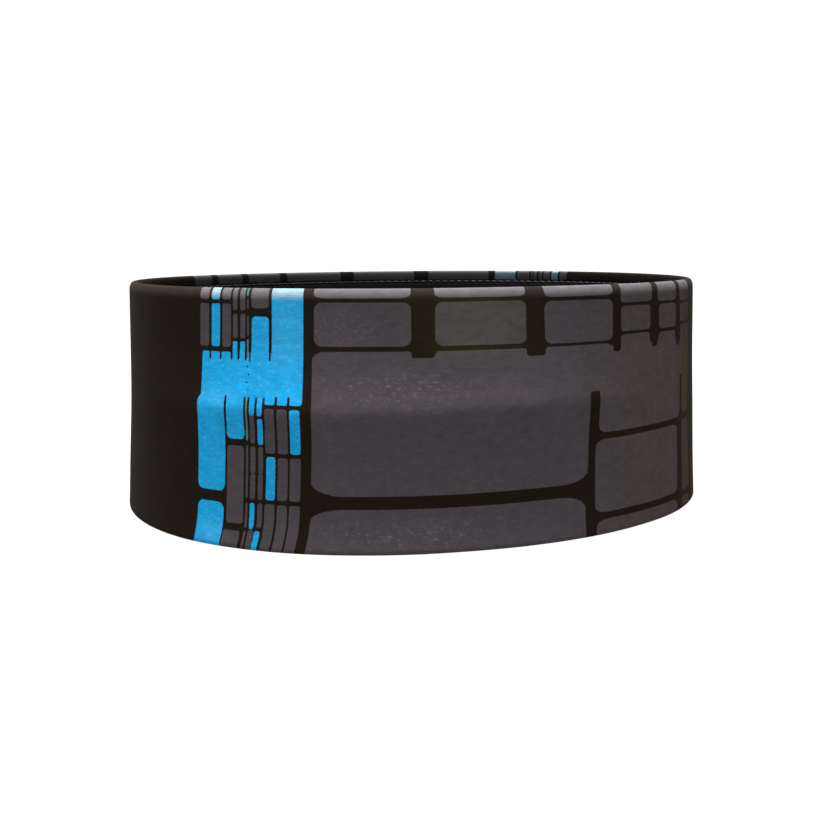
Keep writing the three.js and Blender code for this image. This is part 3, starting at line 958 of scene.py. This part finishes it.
def close_sides(piece, rows, columns_across):
    """Fills the two long sides of a closed strip with quads between its two faces."""
    mesh = piece.data
    half = rows // 2
    faces = []
    for column, flip in ((0, True), (columns_across - 1, False)):
        ring = np.arange(rows) * columns_across + column
        first, last = ring[:half], ring[::-1][:half]
        quads = np.stack([first[:-1], first[1:], last[1:], last[:-1]], axis=-1)
        faces.append(quads[:, ::-1] if flip else quads)
    old = np.zeros(len(mesh.loops), np.int32)
    mesh.loops.foreach_get("vertex_index", old)
    points = np.zeros(len(mesh.vertices) * 3, np.float32)
    mesh.vertices.foreach_get("co", points)
    uv = np.zeros(len(mesh.loops) * 2, np.float32)
    mesh.uv_layers["cloth"].data.foreach_get("uv", uv)
    whole = np.concatenate([old.reshape(-1, 4)] + faces)
    new = bpy.data.meshes.new(piece.name + "_closed")
    new.from_pydata(points.reshape(-1, 3).tolist(), [], whole.tolist())
    layer = new.uv_layers.new(name="cloth")
    layer.data.foreach_set("uv", np.concatenate([uv, np.zeros(2 * (whole.size - old.size), np.float32)]))
    new.shade_smooth()
    piece.data = new


close_sides(label, len(loop_y), TAPE_COLUMNS)

# %% Satin material
# Paler floats and darker dips: painted sheen and painted shade.
SATIN_SHADED_DIPS, SATIN_SHEEN_FLOATS = (0.46, 0.445, 0.42, 1), (0.62, 0.605, 0.575, 1)


def satin():
    """White satin tape: long floating threads across it, which give it a silky line of light, partly a
    painted sheen on the floats, with painted shade in the dips between them.
    """
    material, tree, shader = new_material(
        "label_satin", Roughness=0.38, Sheen_Weight=0.15, Sheen_Roughness=0.3, Specular_IOR_Level=0.5
    )
    uv = socket_of(tree, "ShaderNodeUVMap", uv_map="cloth")
    floats = noise(tree, uv, 500, 6500, 2.0)
    soft = noise(tree, uv, 120, 120, 2.0)
    share = calc(tree, "MULTIPLY_ADD", floats, 0.6, calc(tree, "MULTIPLY", soft, 0.4))
    put(tree, shader.inputs["Base Color"], mix(tree, share, SATIN_SHADED_DIPS, SATIN_SHEEN_FLOATS))
    bumped(tree, shader, floats, 0.00005, 0.6)
    return material


label.data.materials.append(satin())

# %% [markdown]
# ### The stitches across the label
# One short zigzag row holds both ends of the tape. It is the closing row's zigzag again, along X.

# %% The stitches across the label
row_low, row_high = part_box("label_stitches")
ROW_THREAD, ROW_STEP, ROW_INSET, ROW_LEGS = 0.36, 0.8, 0.4, 16
ROW_SINK = 0.12            # how far it is pressed into the tape, from the CAD row's middle


def label_row():
    """A small zigzag across the label, straight along X, just off its near face."""
    middle_y, middle_z = (row_low.y + row_high.y) / 2 / MM, (row_low.z + row_high.z) / 2 / MM
    reach = (row_high.z - row_low.z) / 2 / MM - THREAD / 2
    step = np.arange(ROW_LEGS + 1)
    corners = np.stack([LABEL_LEFT + ROW_INSET + ROW_STEP * step, reach * (-1.0) ** step], axis=-1)
    route = zigzag(corners, ROW_LEGS * 8 + 1)
    y = np.full(len(route), middle_y + ROW_SINK)
    line = np.stack([route[:, 0], y, middle_z + route[:, 1]], axis=-1)
    return thread("label_row", line, np.tile([0.0, -1.0, 0.0], (len(line), 1)), ROW_THREAD)


label_line = label_row()
label_line.data.materials.append(thread_finish)

# %% [markdown]
# ## Every piece rides on the frame
# The band has no joints, so all pieces ride on the one body. Each new piece stands for its plain solid,
# which is hidden.

pieces = {
    outer_knit: ("outer_layer", "printed_knit"),
    lining: ("inner_layer", "lining_knit"),
    seams[0]: ("lower_seam_thread", "sewing_thread"),
    seams[1]: ("upper_seam_thread", "sewing_thread"),
    overlocks[0]: ("lower_overlock_thread", "sewing_thread"),
    overlocks[1]: ("upper_overlock_thread", "sewing_thread"),
    closing: ("closing_stitches", "sewing_thread"),
    label: ("care_label", "label_satin"),
    label_line: ("label_stitches", "sewing_thread"),
}
for piece, (node, slot) in pieces.items():
    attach(piece, "root")
    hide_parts(node)
print(f"{len(pieces)} pieces ride on root")

# %% [markdown]
# ## Floor, light and camera
# The band stands on a wide white table that runs out of sight. Its white is light of its own, so that no
# hard shadow gathers round the hem. A lamp overhead and a painted highlight in the print's colours give the
# upper edge its pale line, and a weak lamp from the left keeps the blue clear. A sky picture would light it
# too, but needs a file.

# %% Floor
FLOOR_HALF = 6.0
DARK, WHITE = (0.06, 0.06, 0.06, 1), (1, 1, 1, 1)
white_table, _, _ = new_material(
    "white_table", Roughness=0.9, Base_Color=DARK, Emission_Color=WHITE, Emission_Strength=0.95
)
floor_mesh = bpy.data.meshes.new("floor")
square = FLOOR_HALF * np.array([(-1, -1, 0), (1, -1, 0), (1, 1, 0), (-1, 1, 0)])
floor_mesh.from_pydata(square.tolist(), [], [(0, 1, 2, 3)])
floor = bpy.data.objects.new("floor", floor_mesh)
bpy.context.scene.collection.objects.link(floor)
floor.data.materials.append(white_table)
print(f"the table is {2 * FLOOR_HALF:.0f} m across")

# %% Light
world = bpy.data.worlds.new("studio")
world.use_nodes = True
background = next(n for n in world.node_tree.nodes if n.type == "BACKGROUND")
background.inputs["Color"].default_value = WHITE
background.inputs["Strength"].default_value = 1.0
bpy.context.scene.world = world
bpy.context.scene.view_settings.view_transform = "Standard"


def area_lamp(name, place, target, size, power):
    """A square lamp that faces a point. Its beam is its own -Z axis."""
    data = bpy.data.lights.new(name, "AREA")
    data.size = size
    data.energy = power
    lamp = bpy.data.objects.new(name, data)
    bpy.context.scene.collection.objects.link(lamp)
    away = np.array(place) - np.array(target)
    pan = math.atan2(away[0], -away[1])
    tilt = math.atan2(math.hypot(away[0], away[1]), away[2])
    turned = Matrix.Rotation(pan, 4, "Z") @ Matrix.Rotation(tilt, 4, "X")
    lamp.matrix_world = Matrix.Translation(place) @ turned
    print(f"{name} lamp: {power} W")


area_lamp("overhead", (-0.10, -0.06, 0.75), (0, -0.02, 0.03), 0.3, 22.0)
area_lamp("from_the_left", (-0.70, -0.65, 0.45), (0, 0, 0.03), 0.5, 0.8)

# %% Camera
camera_data = bpy.data.cameras.new("camera")
camera_data.lens = 52.0
camera_data.sensor_width = 36.0
camera = bpy.data.objects.new("camera", camera_data)
bpy.context.scene.collection.objects.link(camera)
CAMERA_PLACE = (-0.1385, -0.3272, 0.0763)
HEADING, PITCH, ROLL = math.radians(-22.80), math.radians(8.46), math.radians(-0.2)
camera.matrix_world = (
    Matrix.Translation(CAMERA_PLACE)
    @ Matrix.Rotation(HEADING, 4, "Z")
    @ Matrix.Rotation(math.pi / 2 - PITCH, 4, "X")
    @ Matrix.Rotation(ROLL, 4, "Z")
)
bpy.context.scene.camera = camera
print("camera at", CAMERA_PLACE)
